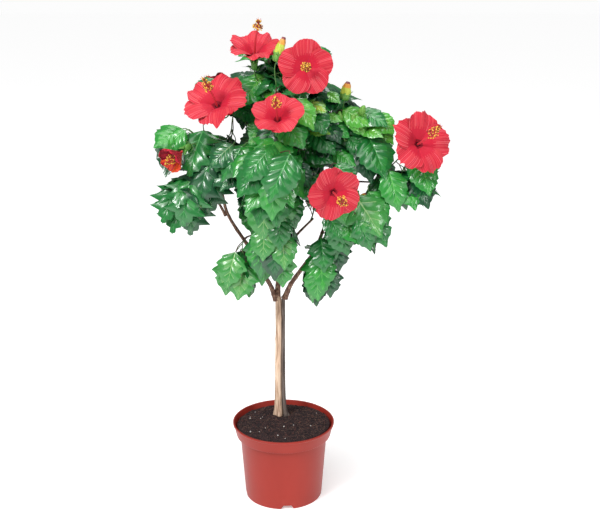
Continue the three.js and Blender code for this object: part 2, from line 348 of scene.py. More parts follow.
dark_crumb = finish("dark_crumb", (0.014, 0.007, 0.008), 0.95)
brown_crumb = finish("brown_crumb", (0.044, 0.019, 0.020), 0.95)
rust_crumb = finish("rust_crumb", (0.095, 0.038, 0.031), 0.9)
fibre = finish("peat_fibre", (0.21, 0.115, 0.085), 0.85)
crumbs = Heap("compost_crumbs", dark_crumb, brown_crumb, rust_crumb, fibre)
for _ in range(CRUMB_COUNT):
    r = SOIL_RADIUS * math.sqrt(rng.random()) * 0.985
    angle = rng.uniform(0, 2 * math.pi)
    x, y = r * math.cos(angle), r * math.sin(angle)
    size = rng.uniform(0.0006, 0.0015) * (1.7 if rng.random() < 0.12 else 1)
    lump = Vector((x, y, soil_height(x, y) + size * 0.2))
    tuft(crumbs, lump, size, rng.choice((0, 0, 0, 1, 1, 2)), rng)
for _ in range(FIBRE_COUNT):
    r = SOIL_RADIUS * math.sqrt(rng.random()) * 0.93
    angle, turn = rng.uniform(0, 2 * math.pi), rng.uniform(0, 2 * math.pi)
    x, y = r * math.cos(angle), r * math.sin(angle)
    half = rng.uniform(0.002, 0.0055)
    along = Vector((math.cos(turn), math.sin(turn), 0))
    bend = along.cross(UP) * rng.uniform(-0.4, 0.4) * half
    knots = [Vector((x, y, 0)) + along * half * s + bend * (1 - s * s) for s in (-1, 0, 1)]
    for knot in knots:
        knot.z = soil_height(knot.x, knot.y) + rng.uniform(0.0003, 0.0010)
    path = spline(knots, 3)
    tube(crumbs, path, [rng.uniform(0.00013, 0.00026)] * len(path), 3, 3)
crumbs.make("compost")

perlite = finish("perlite", (0.86, 0.83, 0.80), 0.8)
emboss(perlite, 2500, 0.0002)
grains = Heap("perlite_grains", perlite)
for _ in range(PERLITE_COUNT):
    r = SOIL_RADIUS * math.sqrt(rng.random()) * 0.93
    angle = rng.uniform(0, 2 * math.pi)
    x, y = r * math.cos(angle), r * math.sin(angle)
    size = rng.uniform(0.0008, 0.0019)
    tuft(grains, Vector((x, y, soil_height(x, y) + size * 0.5)), size, 0, rng, 0.9)
grains.make("compost")


# ---- Trunk and second stem ---------------------------------------------------------------------
# Two woody stems stand pressed together for their whole height: the main trunk in smooth tan bark with
# long shallow grooves, and a slim grey-brown one at its right. Both flare a little at the compost.


def spot(node, across, deep, high):
    """A point inside a node's box, by how far across, deep and high it is, each from 0 to 1."""
    low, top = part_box(node)
    return Vector((low.x + (top.x - low.x) * across, low.y + (top.y - low.y) * deep,
                   low.z + (top.z - low.z) * high))


TRUNK_RADII = (0.0068, 0.0056)
SECOND_RADII = (0.0042, 0.0034)
STEM_RINGS = 170
ROUNDED_FROM = 0.95  # the share of its height above which a stem's end closes over, inside the fork
KNOTS = ((0.145, 2.2, 0.10), (0.62, 0.6, 0.16), (0.33, -1.9, 0.14), (0.80, 3.4, 0.13), (0.93, -0.6, 0.2))


def stem(heap, knots, radii, flare, sides, seed, paint=0):
    """A woody stem: long grooves, faint rings and a few knots, each at its height and side."""
    path = spline(knots, STEM_RINGS // (len(knots) - 1))
    count = len(path)
    widths = []
    for i in range(count):
        t = i / (count - 1)
        width = radii[0] + (radii[1] - radii[0]) * t + flare * math.exp(-t * 16)
        beyond = max(0.0, (t - ROUNDED_FROM) / (1 - ROUNDED_FROM))
        widths.append(width * math.sqrt(max(0.01, 1 - beyond * beyond)))

    def bark(i, angle):
        t = i / (count - 1)
        around = Vector((math.cos(angle), math.sin(angle), 0))
        groove = noise.noise(around * 2.6 + Vector((0, 0, t * 3 + seed))) * 0.10
        ridge = noise.noise(around * 7.5 + Vector((seed, 0, t * 8))) * 0.05
        ring = noise.noise(Vector((seed, 5, t * 60))) * 0.03
        foot = 0.22 * math.exp(-t * 22) * math.sin(3 * angle + seed)
        lump = 0.0
        for height, side, size in KNOTS:
            away = math.cos(angle - side - seed)
            lump += size * math.exp(-(((t - height) * 48) ** 2)) * max(0.0, away) ** 3
        return 1 + groove + ridge + ring + foot + lump

    tube(heap, path, widths, sides, paint, bark)
    return path, widths


trunk_bark = finish("tan_bark", (0.50, 0.34, 0.20), 0.8)
mottle(trunk_bark, [(0.34, 0.205, 0.135), (0.67, 0.460, 0.320), (0.80, 0.610, 0.455)], 330, (1, 1, 0.07))
emboss(trunk_bark, 420, 0.0008, (1, 1, 0.12), 5, (0.65, 0.9))
grey_bark = finish("grey_bark", (0.17, 0.12, 0.10), 0.8)
mottle(grey_bark, [(0.045, 0.031, 0.027), (0.105, 0.076, 0.065), (0.19, 0.150, 0.130)], 360, (1, 1, 0.06))
emboss(grey_bark, 420, 0.0008, (1, 1, 0.12), 5, (0.65, 0.9))

trunk_foot = spot("trunk", 0.54, 0.5, 0)
trunk_fork = spot("trunk", 0.58, 0.5, 1)
trunk = Heap("trunk_bark_mesh", trunk_bark)
trunk_path, _ = stem(
    trunk,
    [trunk_foot, trunk_foot.lerp(trunk_fork, 0.35) + Vector((-0.0006, 0, 0)),
     trunk_foot.lerp(trunk_fork, 0.7) + Vector((0.0005, 0, 0)), trunk_fork + UP * 0.006],
    TRUNK_RADII, 0.0020, 30, 1.3,
)
trunk.make("trunk_bark", "trunk")

second_foot = spot("second_stem", 0.62, 0.35, 0)
second_fork = spot("second_stem", 0.31, 0.55, 1)
second = Heap("second_stem_bark_mesh", grey_bark)
second_path, _ = stem(
    second,
    [second_foot, spot("second_stem", 0.30, 0.45, 0.13), spot("second_stem", 0.25, 0.52, 0.5), second_fork],
    SECOND_RADII, 0.0014, 22, 4.1,
)
second.make("grey_bark", "second_stem")


# ---- Boughs ------------------------------------------------------------------------------------
# Young reddish-brown wood that forks from the top of the stems. Each bough is one tapering limb with
# raised leaf scars. It runs on under the leaves that hide its end.

# Each bough: the node it stands for, its girth at both ends, and the points it passes through.
BOUGHS = (
    ("left_bough", (0.0044, 0.0024), ((0.96, 0.93, 0.02), (0.86, 0.82, 0.16), (0.68, 0.73, 0.31),
                                       (0.50, 0.65, 0.49), (0.15, 0.24, 0.79), (0.04, 0.08, 1.0))),
    ("centre_bough", (0.0046, 0.0022), ((0.10, 0.05, 0.01), (0.22, 0.40, 0.15), (0.50, 0.58, 0.40),
                                         (0.72, 0.62, 0.70), (0.90, 0.95, 1.04))),
    ("right_bough", (0.0046, 0.0026), ((0.03, 0.92, 0.0), (0.14, 0.84, 0.19), (0.32, 0.75, 0.39),
                                        (0.53, 0.58, 0.62), (0.70, 0.48, 0.80), (1.0, 0.0, 1.0))),
    ("left_outer_bough", (0.0023, 0.0016), ((0.98, 0.95, 0.0), (0.62, 0.60, 0.5), (0.0, 0.0, 1.05))),
    ("right_upper_bough", (0.0026, 0.0017), ((0.05, 0.6, 0.0), (0.52, 0.9, 0.42), (0.95, 0.1, 1.05))),
    ("right_outer_bough", (0.0020, 0.0014), ((0.0, 0.95, 0.05), (0.45, 0.78, 0.80), (1.1, 0.0, 1.0))),
    ("back_left_bough", (0.0028, 0.0018), ((0.95, 0.05, 0.0), (0.45, 0.60, 0.72), (-0.3, 1.3, 1.3))),
    ("back_right_bough", (0.0028, 0.0018), ((0.05, 0.05, 0.0), (0.55, 0.55, 0.60), (1.1, 1.1, 1.1))),
    ("back_bough", (0.0028, 0.0018), ((0.85, 0.05, 0.02), (0.45, 0.55, 0.62), (0.1, 1.3, 1.1))),
    ("upper_left_bough", (0.0024, 0.0016), ((0.98, 0.1, 0.0), (0.52, 0.42, 0.60), (-0.1, 1.1, 1.1))),
    ("upper_right_bough", (0.0024, 0.0016), ((0.1, 0.05, 0.0), (0.70, 0.80, 0.75), (1.2, 1.5, 1.5))),
    ("front_bough", (0.0024, 0.0016), ((0.9, 0.98, 0.0), (0.55, 0.50, 0.65), (0.1, -0.05, 1.05))),
)
SCAR_GAP = 0.019  # between one leaf scar and the next
COLLAR = 0.35  # how far a bough thickens where it leaves its parent, as a share of its girth


class Shoot:
    """A place on a limb from which a twig or a stalk can grow."""

    def __init__(self, point, heading, girth):
        self.point = point
        self.heading = heading
        self.girth = girth


shoots = []


def leave_shoots(path, widths, every):
    for i in range(1, len(path), every):
        heading = (path[i] - path[i - 1]).normalized()
        shoots.append(Shoot(path[i], heading, widths[i]))


def scarred(length, count, seed):
    """Swells a limb at its leaf scars, each on one side."""

    def shape(i, angle):
        place = i / (count - 1) * length / SCAR_GAP
        off = place - round(place)
        side = math.cos(angle - round(place) * 2.4 - seed)
        roll = noise.noise(Vector((math.cos(angle) * 2, math.sin(angle) * 2, i * 0.13 + seed))) * 0.07
        return 1 + roll + math.exp(-((off * 9) ** 2)) * (0.07 + 0.16 * max(0.0, side) ** 2)

    return shape


young_bark = finish("young_bark", (0.16, 0.070, 0.042), 0.7)
mottle(young_bark, [(0.075, 0.030, 0.020), (0.175, 0.078, 0.048), (0.34, 0.200, 0.130)], 300, (1, 1, 0.5))
emboss(young_bark, 700, 0.0005, (1, 1, 0.4), 4, (0.55, 0.8))
boughs = Heap("bough_bark_mesh", young_bark)
bare_wood = []  # where the two lowest boughs show in front of the leaves
for i, (node, girth, route) in enumerate(BOUGHS):
    path = spline([spot(node, *place) for place in route], 16)
    widths = [girth[0] + (girth[1] - girth[0]) * k / (len(path) - 1)
              + COLLAR * girth[0] * math.exp(-k / 5) for k in range(len(path))]
    length = sum((b - a).length for a, b in zip(path, path[1:]))
    tube(boughs, path, widths, 14, 0, scarred(length, len(path), i * 1.7))
    leave_shoots(path, widths, 4)
    if node in ("left_bough", "right_bough"):
        bare_wood += path[: len(path) // 2 : 3]
boughs.make("young_bark", *(bough[0] for bough in BOUGHS))


# ---- Twigs and stalks --------------------------------------------------------------------------
# Thin side shoots, and the stalks of leaves, blooms and buds. The newest growth is green and the older
# is red-brown. Each grows from the nearest shoot, and a long one bears shoots of its own.

STALK_GIRTH = 0.0009
BLOOM_STALK_GIRTH = 0.0012

GREEN_WOOD, RED_WOOD = range(2)
green_stalk = finish("green_stalk", (0.075, 0.190, 0.040), 0.5)
red_stalk = finish("red_brown_stalk", (0.090, 0.040, 0.028), 0.6)
twigs = Heap("twigs_and_stalks", green_stalk, red_stalk)


def grow(target, heading, girth, paint, longest_bare=0.03):
    """Grows a stalk from the nearest shoot, so that it reaches target along heading."""
    best = min(shoots, key=lambda shoot: (target - shoot.point).length
               + 0.4 * max(0.0, (shoot.point - target).dot(heading)))
    start = best.point
    span = (target - start).length
    out = (best.heading * 0.55 + (target - start).normalized()).normalized()
    steps = max(4, int(span / 0.010))
    path = []
    for i in range(steps + 1):
        t = i / steps
        lead, trail = start + out * span * 0.36, target - heading * span * 0.33
        path.append(start * (1 - t) ** 3 + lead * 3 * t * (1 - t) ** 2 + trail * 3 * t * t * (1 - t)
                    + target * t ** 3)
    girths = [max(girth, min(best.girth * 0.8, girth * 2.2) * (1 - i / steps)) for i in range(steps + 1)]
    tube(twigs, path, girths, 6, paint)
    if span > longest_bare:
        leave_shoots(path[: max(2, steps - 2)], girths, 2)


# ---- Blooms ------------------------------------------------------------------------------------
# Each bloom has five broad overlapping petals that flare from a dark throat, with fine pale streaks
# along them. A long column stands in the throat, its outer half set all round with yellow anthers.

MASS_NODES = [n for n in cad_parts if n.endswith(("_leaves", "_bloom", "_tip", "_spray"))]
crown_low = Vector(min(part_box(n)[0][a] for n in MASS_NODES) for a in range(3))
crown_high = Vector(max(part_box(n)[1][a] for n in MASS_NODES) for a in range(3))
crown_low.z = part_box("trunk")[1].z


def place(across, deep, high):
    """A point in the crown, by its share of the crown's width, depth and height above the fork."""
    size = crown_high - crown_low
    return crown_low + Vector((size.x * across, size.y * deep, size.z * high))


PETAL_ROWS = 14
PETAL_COLUMNS = 40
STAMENS = 62
GOLDEN = 2.39996  # the turn from one stamen to the next
FIFTH = 1.257  # a fifth of a turn, from one sepal or stigma to the next

petal_finishes = [
    finish("petal_throat", (0.060, 0.003, 0.009), 0.6, specular=0.2),
    finish("petal_wine", (0.250, 0.005, 0.018), 0.55, specular=0.2),
    finish("petal_red", (0.500, 0.009, 0.032), 0.55, sheen=0.05, subsurface=0.1, specular=0.2),
    finish("petal_coral", (0.560, 0.036, 0.052), 0.55, sheen=0.05, subsurface=0.1, specular=0.2),
    finish("petal_streak", (0.640, 0.078, 0.098), 0.55, sheen=0.05, subsurface=0.1, specular=0.2),
    finish("petal_back_orange", (0.700, 0.085, 0.012), 0.55, sheen=0.05, specular=0.2),
    finish("anther_yellow", (0.800, 0.480, 0.060), 0.8),
    finish("anther_brown", (0.200, 0.050, 0.012), 0.8),
    finish("calyx_green", (0.090, 0.280, 0.040), 0.5),
]
THROAT, WINE, RED, CORAL, STREAK, ORANGE, YELLOW, BROWN, CALYX = range(9)
petals = Heap("bloom_petals", *petal_finishes)
stamens = Heap("bloom_columns", *petal_finishes)


def petal(centre, axis, out, reach, flare, rise, curl, frill, closed, rng):
    """One petal: a narrow claw that widens to a round, ruffled and finely nicked end. closed is 0 on an
    open bloom; on one that has shut it is 1, or 2 where the petal shows its orange back."""
    beside = axis.cross(out)
    broad = 0.54
    ruffle = rng.uniform(0.025, 0.050) * (0.6 + frill)
    phase = rng.uniform(0, 6.28)
    seed = rng.uniform(0, 50)
    nicks = []
    for j in range(PETAL_COLUMNS + 1):
        broad_nick = 0.06 * noise.noise(Vector((j * 0.33, seed, 0)))
        fine_nick = 0.05 * noise.noise(Vector((j * 1.3, seed, 4)))
        point = 0.07 * max(0.0, 1 - abs(j - PETAL_COLUMNS / 2) / 3)
        nicks.append(frill * (broad_nick + fine_nick + point))
    points, faces, paint = [], [], []
    for i in range(PETAL_ROWS + 1):
        u = i / PETAL_ROWS
        breadth = broad * (0.12 + 0.88 * math.sin(min(1.0, u * 1.15) * math.pi / 2) ** 0.85)
        for j in range(PETAL_COLUMNS + 1):
            v = 2 * j / PETAL_COLUMNS - 1
            s = u * (1 - 0.36 * abs(v) ** 2.8 + nicks[j] * u * u)
            z = rise * (1 - max(0.0, 1 - s) ** 2.4) - curl * s ** 3 + 0.10 * v * breadth * (1 - closed)
            z += ruffle * u ** 3 * math.sin(v * 6.5 + phase) + 0.05 * u ** 5 * noise.noise(
                Vector((v * 2.4, u * 2, seed)))
            z += 0.004 * u * math.cos(j * math.pi / 2)
            if closed:
                turn = v * breadth * 1.6
                spread = (out * math.cos(turn) + beside * math.sin(turn)) * flare * math.sin(2.1 * s)
            else:
                spread = out * flare * s + beside * v * breadth
            points.append(centre + (spread + axis * z) * reach)
    tones = [rng.choice((STREAK, CORAL, CORAL)) if j % 2 else rng.choice((RED, RED, CORAL))
             for j in range(PETAL_COLUMNS)]
    if closed:
        shut = (ORANGE, ORANGE, RED) if closed > 1 else (WINE, WINE, RED)
        tones = [rng.choice(shut) for _ in tones]
    for i in range(PETAL_ROWS):
        u = i / PETAL_ROWS
        for j in range(PETAL_COLUMNS):
            low, high = i * (PETAL_COLUMNS + 1) + j, (i + 1) * (PETAL_COLUMNS + 1) + j
            faces.append((low, low + 1, high + 1, high))
            if closed:
                paint.append(tones[j])
            elif u < 0.07:
                paint.append(THROAT)
            elif u < 0.14:
                paint.append(WINE)
            elif u < 0.36 + 0.04 * (j % 4):
                paint.append(RED)
            else:
                paint.append(tones[j])
    petals.add(points, faces, paint)


def column(centre, axis, lean, length, bare, rng):
    """The column: bare at first, then set all round with stamens, the last of which point ahead."""
    path = spline([centre, centre + axis * length * 0.5 + lean * length * 0.05,
                   centre + axis * length + lean * length * 0.22], 12)
    widths = [0.0019 - 0.0008 * i / (len(path) - 1) for i in range(len(path))]
    tube(stamens, path, widths, 8, CORAL)
    heading = (path[-1] - path[-3]).normalized()
    across = heading.orthogonal().normalized()
    beside = heading.cross(across)
    for k in range(STAMENS):
        share = k / STAMENS
        place_on = path[int((bare + (0.99 - bare) * share) * (len(path) - 1))]
        ray = across * math.cos(k * GOLDEN) + beside * math.sin(k * GOLDEN)
        ahead = max(0.0, share - 0.55) * 2
        end = place_on + (ray * (1 - ahead) + heading * (0.2 + ahead)) * rng.uniform(0.0050, 0.0085)
        tube(stamens, [place_on, place_on.lerp(end, 0.6) + heading * 0.0005, end], [0.00025] * 3, 3, CORAL)
        tuft(stamens, end, rng.uniform(0.0014, 0.0021), YELLOW if rng.random() < 0.62 else BROWN, rng, 0.8)
    for k in range(5):
        ray = across * math.cos(k * FIFTH) + beside * math.sin(k * FIFTH)
        end = path[-1] + (heading * 0.8 + ray * 0.5) * 0.008
        tube(stamens, [path[-1], path[-1].lerp(end, 0.6) + heading * 0.0008, end], [0.0003] * 3, 4, RED)
        tuft(stamens, end, 0.0009, RED, rng, 0.7)


def calyx(heap, centre, axis, girth, length, green, rng, bracts=7, open_to=2.1):
    """A green cup of five pointed sepals, with a ring of thin bracts at its foot."""
    foot = centre - axis * length
    across = axis.orthogonal().normalized()
    beside = axis.cross(across)
    path = [foot.lerp(centre, i / 5) for i in range(6)]
    tube(heap, path, [girth * w for w in (0.45, 0.85, 1.0, 1.05, 1.1, 1.0)], 10, green)
    for k in range(5):
        angle = k * FIFTH
        ray = across * math.cos(angle) + beside * math.sin(angle)
        tube(heap, [centre + ray * girth * 0.75, centre + ray * girth * 1.1 + axis * length * 0.22,
                    centre + ray * girth * 1.35 + axis * length * 0.42],
             [girth * 0.50, girth * 0.34, girth * 0.04], 5, green)
    for k in range(bracts):
        angle = k * 2 * math.pi / bracts + 0.3
        ray = across * math.cos(angle) + beside * math.sin(angle)
        tube(heap, [foot, foot + ray * girth * open_to * 0.65 + axis * length * 0.1,
                    foot + ray * girth * open_to + axis * length * rng.uniform(0.4, 0.8)],
             [0.0007, 0.0006, 0.0001], 4, green)


# Each bloom: the mass that it opens from, its throat's place in that mass's box, the way it faces, and the
# length, flare, rise, curl, turn and frill of its petals, then its column's lean, length and bare share.
BLOOMS = (
    ("crown_tip", (.5, .5, .25), (.02, -.36, .93), .045, 1, .62, .04, 36, 1.0, (.5, .2, .3), .062, .86),
    ("top_right_bloom", (.5, .5, .5), (0, -.99, .14), .046, 1, .26, .02, 88, .3, (0, 0, .2), .036, .72),
    ("upper_left_bloom", (.5, .5, .3), (-.22, -.55, .8), .055, 1, .42, .1, 4, 1.0, (-.5, 0, .3), .058, .7),
    ("upper_front_bloom", (.5, .4, .6), (-.05, -.6, .8), .043, 1, .54, .02, 15, .4, (0, 0, .1), .052, .72),
    ("far_right_bloom", (.4, .5, .4), (.38, -.82, .42), .054, 1, .38, .12, 70, 1.0, (.5, 0, 1), .06, .7),
    ("low_front_bloom", (.5, .5, .5), (.25, -.94, -.1), .046, 1, .32, .04, 38, .5, (.8, 0, -.5), .044, .7),
    ("left_tip", (.55, .5, .3), (-.62, -.68, -.38), .040, .58, .8, 0, 20, .5, (0, 0, 0), .036, .58),
    ("back_upper_left_leaves", (.2, .8, .7), (-.4, .75, .5), .044, 1, .4, .1, 10, .8, (0, 0, .4), .048, .72),
    ("back_leaves", (.5, .6, .4), (.1, .9, .35), .042, 1, .38, .1, 40, .8, (0, 0, .4), .048, .72),
    ("back_low_right_leaves", (.4, .8, .8), (.45, .8, .1), .042, 1, .4, .1, 25, .8, (0, 0, .4), .048, .72),
)

rng = random.Random(31)
for node, throat, axis, reach, flare, rise, curl, turn, frill, lean, length, bare in BLOOMS:
    centre, axis = spot(node, *throat), Vector(axis).normalized()
    ahead = UP if abs(axis.z) < 0.9 else VIEWER
    top = (ahead - axis * axis.dot(ahead)).normalized()
    for k in range(5):
        out = Matrix.Rotation(math.radians(turn - 90 + 72 * k), 3, axis) @ top
        closed = 0 if flare > 0.6 else 2 if out.z < -0.2 else 1
        petal(centre, axis, out, reach * rng.uniform(0.96, 1.03), flare, rise, curl, frill, closed, rng)
    column(centre, axis, Vector(lean), length, bare, rng)
    calyx(stamens, centre - axis * 0.005, axis, 0.0055, 0.016, CALYX, rng)
    grow(centre - axis * 0.020, axis, BLOOM_STALK_GIRTH, GREEN_WOOD)
petals.make("petal")
stamens.make("petal")


# ---- Leaves ------------------------------------------------------------------------------------
# Glossy leaves, each on a thin stalk. Most are toothed and pointed, others have three lobes or are cut
# deep between the veins. The blade is quilted: it swells between sunken pale veins, and droops.

LEAF_TINTS = {  # blade, then its lighter panels, then its veins
    # deep is a dark green leaf colour, and it is also laid on most leaves inside the crown as painted shade.
    "deep": ((0.0035, 0.062, 0.019), (0.007, 0.100, 0.027), (0.025, 0.160, 0.045)),
    "green": ((0.008, 0.150, 0.026), (0.016, 0.205, 0.032), (0.050, 0.300, 0.065)),
    "bright": ((0.018, 0.240, 0.028), (0.034, 0.305, 0.036), (0.100, 0.420, 0.080)),
    "fresh": ((0.070, 0.345, 0.034), (0.115, 0.420, 0.045), (0.220, 0.530, 0.100)),
    "pale": ((0.034, 0.240, 0.040), (0.090, 0.320, 0.075), (0.230, 0.450, 0.150)),
    # painted_sky_glint: a dark green blade whose lighter panels and whitish veins are a painted reflection of
    # the white sky on its gloss
    "painted_sky_glint": ((0.007, 0.100, 0.028), (0.030, 0.180, 0.055), (0.170, 0.360, 0.150)),
    "yellow": ((0.110, 0.310, 0.024), (0.250, 0.400, 0.026), (0.340, 0.190, 0.030)),
}
TINT_NAMES = tuple(LEAF_TINTS)

# Each shape: how blunt it is at its foot and at its tip, its veins on each side, the depth of its
# teeth, and its lobes as (place along the edge, how far it swells or pinches, how far it spreads).
LEAF_SHAPES = {
    "toothed": (0.62, 0.98, 7, 0.09, ()),
    "round": (0.55, 0.74, 7, 0.06, ()),
    "lobed": (0.60, 0.95, 6, 0.10, ((0.36, 0.16, 0.09), (0.54, -0.18, 0.05), (0.66, 0.08, 0.07))),
    "cut": (0.62, 0.90, 5, 0.55, ()),
}
VEIN_HALF = 0.0065  # half a side vein's width, as a share of the blade's length
COLUMNS = (0.0, 0.040, 0.30, 0.62, 0.86, 1.0)  # from the midrib to the edge
LIGHT_PANELS = 0.45  # the share of panels between veins that are lighter

leaf_finishes = []
for tint, colours in LEAF_TINTS.items():
    for part, colour in zip(("blade", "panel", "vein"), colours):
        leaf_finishes.append(finish(f"{tint}_leaf_{part}", colour, 0.40, coat=1.0, coat_roughness=0.20,
                                    specular=0.3))


def half_width(shape, q):
    """Half the blade's width at q, from 0 at its foot to 1 at its tip, before its teeth."""
    foot, point, _, _, lobes = LEAF_SHAPES[shape]
    widest = foot / (foot + point)
    width = (q / widest) ** foot * ((1 - q) / (1 - widest)) ** point
    width *= 1 - 0.34 * math.exp(-(((q - 0.88) / 0.08) ** 2))
    for at, swell, spread in lobes:
        width *= 1 + swell * math.exp(-(((q - at) / spread) ** 2))
    return width


def blade_rows(shape):
    """The rows of a blade: where each leaves the midrib and meets the edge, its tooth, and if it is a
    vein. Each vein has two close rows, and two more lie on the panel beyond it."""
    veins, tooth = LEAF_SHAPES[shape][2:4]
    rows = []

    def row(t, push, vein):
        t = min(max(t, 0.0), 1.0)
        rows.append((max(0.0, (t - 0.10) / 0.90), 1 - (1 - t) ** 1.7, push, vein))

    row(0, 0, False)
    for k in range(veins):
        t = (k + 0.62) / (veins + 0.35)
        row(t - VEIN_HALF, tooth * 0.8, True)
        row(t + VEIN_HALF, tooth, True)
        row(t + 0.26 / veins, -tooth * 0.5, False)
        if k < veins - 1:
            row(t + 0.62 / veins, tooth * 0.1, False)
    row(1, 0, False)
    return rows


def leaf(heap, foot, tip, facing, shape, tint, width, rng, arch=0.16):
    """One quilted blade from its foot to its tip, its upper side towards facing."""
    length = (tip - foot).length
    along = (tip - foot).normalized()
    face = (facing - along * facing.dot(along)).normalized()
    side = along.cross(face)
    crown = foot.lerp(tip, 0.5) + face * length * arch
    fold = rng.uniform(0.10, 0.34)
    droop = rng.uniform(0.25, 0.45)
    wave = rng.uniform(0.015, 0.050)
    phase = rng.uniform(0, 6.28)
    swell = rng.uniform(0.028, 0.050)
    rows = blade_rows(shape)
    points, faces, paint = [], [], []
    for start, end, tooth, vein in rows:
        half = half_width(shape, min(max(end, 0.002), 0.998)) * width
        for s in [-c for c in reversed(COLUMNS[1:])] + list(COLUMNS):
            reach = abs(s)
            q = start + (end - start) * reach ** 0.85
            centre = foot * (1 - q) ** 2 + crown * 2 * q * (1 - q) + tip * q * q
            tangent = ((crown - foot) * (1 - q) + (tip - crown) * q).normalized()
            lift = half * (fold * reach - droop * reach * reach)
            lift += wave * reach ** 2 * math.sin(end * 16 + phase + (2.1 if s > 0 else 0)) * (half / width)
            bulge = swell * math.sin(math.pi * reach ** 0.8) * half / width
            lift += -0.25 * bulge if vein else bulge
            out = half * reach * (1 + tooth * reach ** 3)
            points.append(centre + (side * math.copysign(out, s) + side.cross(tangent) * lift) * length)
    columns = 2 * len(COLUMNS) - 1
    tones = TINT_NAMES.index(tint) * 3
    middle = len(COLUMNS) - 1
    light = 0
    for i in range(len(rows) - 1):
        vein = rows[i][3] and rows[i + 1][3]
        if vein:
            light = 1 if rng.random() < LIGHT_PANELS else 0
        for k in range(columns - 1):
            low, high = i * columns + k, (i + 1) * columns + k
            faces.append((low, low + 1, high + 1, high))
            rib = k in (middle - 1, middle) or (vein and 1 < k < columns - 3)
            paint.append(tones + (2 if rib else light if 1 < k < columns - 3 else 0))
    heap.add(points, faces, paint)


# From the front and a little above, no leaf shows outside the masses' outlines or lies before a bloom.
EYE = Vector((0.031, -2.0, 1.10))
TRIES = 90


def seen(point):
    """Where a point falls on an upright plane through the middle of the pot, from the eye."""
    t = -EYE.y / (point.y - EYE.y)
    return EYE.x + (point.x - EYE.x) * t, EYE.z + (point.z - EYE.z) * t


outlines = []
for node in MASS_NODES:
    if not node.startswith("back_"):
        low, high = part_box(node)
        x, z = seen((low + high) / 2)
        outlines.append((x, z, (high.x - low.x) / 2, (high.z - low.z) / 2))
outlines.append((*seen(place(0.50, 0.5, 0.58)), 0.085, 0.130))  # the close leaves round the centre bough
kept_clear = []  # each front bloom and each stretch of bare bough that leaves stay behind
for node, throat, axis, reach, *_ in BLOOMS:
    centre = spot(node, *throat)
    if not node.startswith("back_"):
        kept_clear.append((*seen(centre), centre.y + 0.02, reach * 1.05))
for point in bare_wood:
    kept_clear.append((*seen(point), point.y + 0.01, 0.010))


def fits(points):
    """Do all of these points keep within the crown's outline and behind its blooms?"""
    for point in points:
        x, z = seen(point)
        if any(math.hypot(x - bx, z - bz) < radius and point.y < deep for bx, bz, deep, radius in kept_clear):
            return False
        if not any(((x - ox) / wide) ** 2 + ((z - oz) / tall) ** 2 < 1 for ox, oz, wide, tall in outlines):
            return False
    return True


def blade_points(foot, tip, face):
    """The places by which a blade is tested: its ends, its middle and its two sides."""
    beside = (tip - foot).cross(face).normalized() * (tip - foot).length * 0.3
    middle = foot.lerp(tip, 0.45)
    return foot, tip, middle, middle + beside, middle - beside


# The habit of each mass's face: how many leaves, their shapes, their tints and their usual length.
HABITS = {
    "crown_tip": (4, ("toothed",), ("fresh", "bright"), 0.036),
    "top_left_leaves": (9, ("toothed", "round"), ("bright", "fresh", "green"), 0.048),
    "top_right_bloom": (6, ("toothed",), ("green",), 0.042),
    "upper_left_bloom": (8, ("toothed",), ("green", "bright"), 0.055),
    "upper_front_bloom": (14, ("toothed", "round"), ("pale", "bright", "fresh"), 0.055),
    "upper_right_leaves": (8, ("toothed", "round"), ("yellow", "deep", "green"), 0.052),
    "left_tip": (10, ("toothed",), ("bright", "green"), 0.056),
    # On the dark leaves at the left, the painted_sky_glint tint paints the white sky's reflection into the
    # blade.
    "left_leaves": (15, ("toothed", "lobed"), ("deep", "painted_sky_glint", "green"), 0.062),
    "left_hanging_leaves": (11, ("cut", "cut", "toothed"), ("painted_sky_glint", "deep", "green"), 0.074),
    "front_leaves": (16, ("lobed", "toothed"), ("bright", "green", "deep"), 0.078),
    "bud_spray": (3, ("toothed",), ("fresh",), 0.034),
    "right_leaves": (10, ("round", "toothed"), ("deep", "green", "bright"), 0.056),
    "right_upper_leaves": (9, ("toothed", "round"), ("bright", "fresh", "green"), 0.050),
    "far_right_bloom": (2, ("toothed",), ("green",), 0.045),
    "right_hanging_leaves": (13, ("lobed", "toothed"), ("green", "deep", "bright"), 0.070),
    "low_front_bloom": (8, ("toothed",), ("deep", "green"), 0.052),
    "lower_right_leaves": (12, ("lobed", "toothed"), ("green", "bright", "pale"), 0.070),
    "lower_front_leaves": (16, ("toothed", "lobed"), ("pale", "green", "bright", "deep"), 0.072),
    "lower_left_leaves": (9, ("lobed", "toothed"), ("pale", "bright"), 0.072),
    "low_hanging_leaves": (12, ("lobed", "toothed"), ("bright", "deep", "green"), 0.062),
}
SPACING = 0.34  # between two leaf tips of one mass, as a share of a leaf's length

rng = random.Random(5)
face_leaves = Heap("face_leaves", *leaf_finishes)
heart = place(0.42, 0.52, 0.45)
laid = []
for node, (count, shapes, tints, size) in HABITS.items():
    low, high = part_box(node)
    middle, half = (low + high) / 2, (high - low) / 2
    tips = []
    for _ in range(count):
        for _ in range(TRIES):
            ray = Vector((rng.uniform(-1, 1), rng.uniform(-0.9, -0.1), rng.uniform(-1, 0.8))).normalized()
            if node.endswith(("_bloom", "_tip")):
                ray = Vector((ray.x, ray.y + 0.8, -abs(ray.z))).normalized()
            tip = middle + Vector(a * b for a, b in zip(ray, half)) * 0.96
            away = tip - heart
            out = Vector((away.x, 0, away.z)).normalized()
            spread = 0.2 if "hanging" in node else 0.6
            lie = (out * spread - UP * rng.uniform(0.4, 1.1) + VIEWER * rng.uniform(0.1, 0.5)).normalized()
            foot = tip - lie * size * rng.uniform(0.85, 1.25)
            face = VIEWER * 0.8 + UP * 0.55 + out * rng.uniform(0, 0.3)
            apart = all((tip - other).length > SPACING * size for other in tips)
            if apart and fits(blade_points(foot, tip, face)):
                tips.append(tip)
                laid.append((foot, tip, face, rng.choice(shapes), rng.choice(tints)))
                break
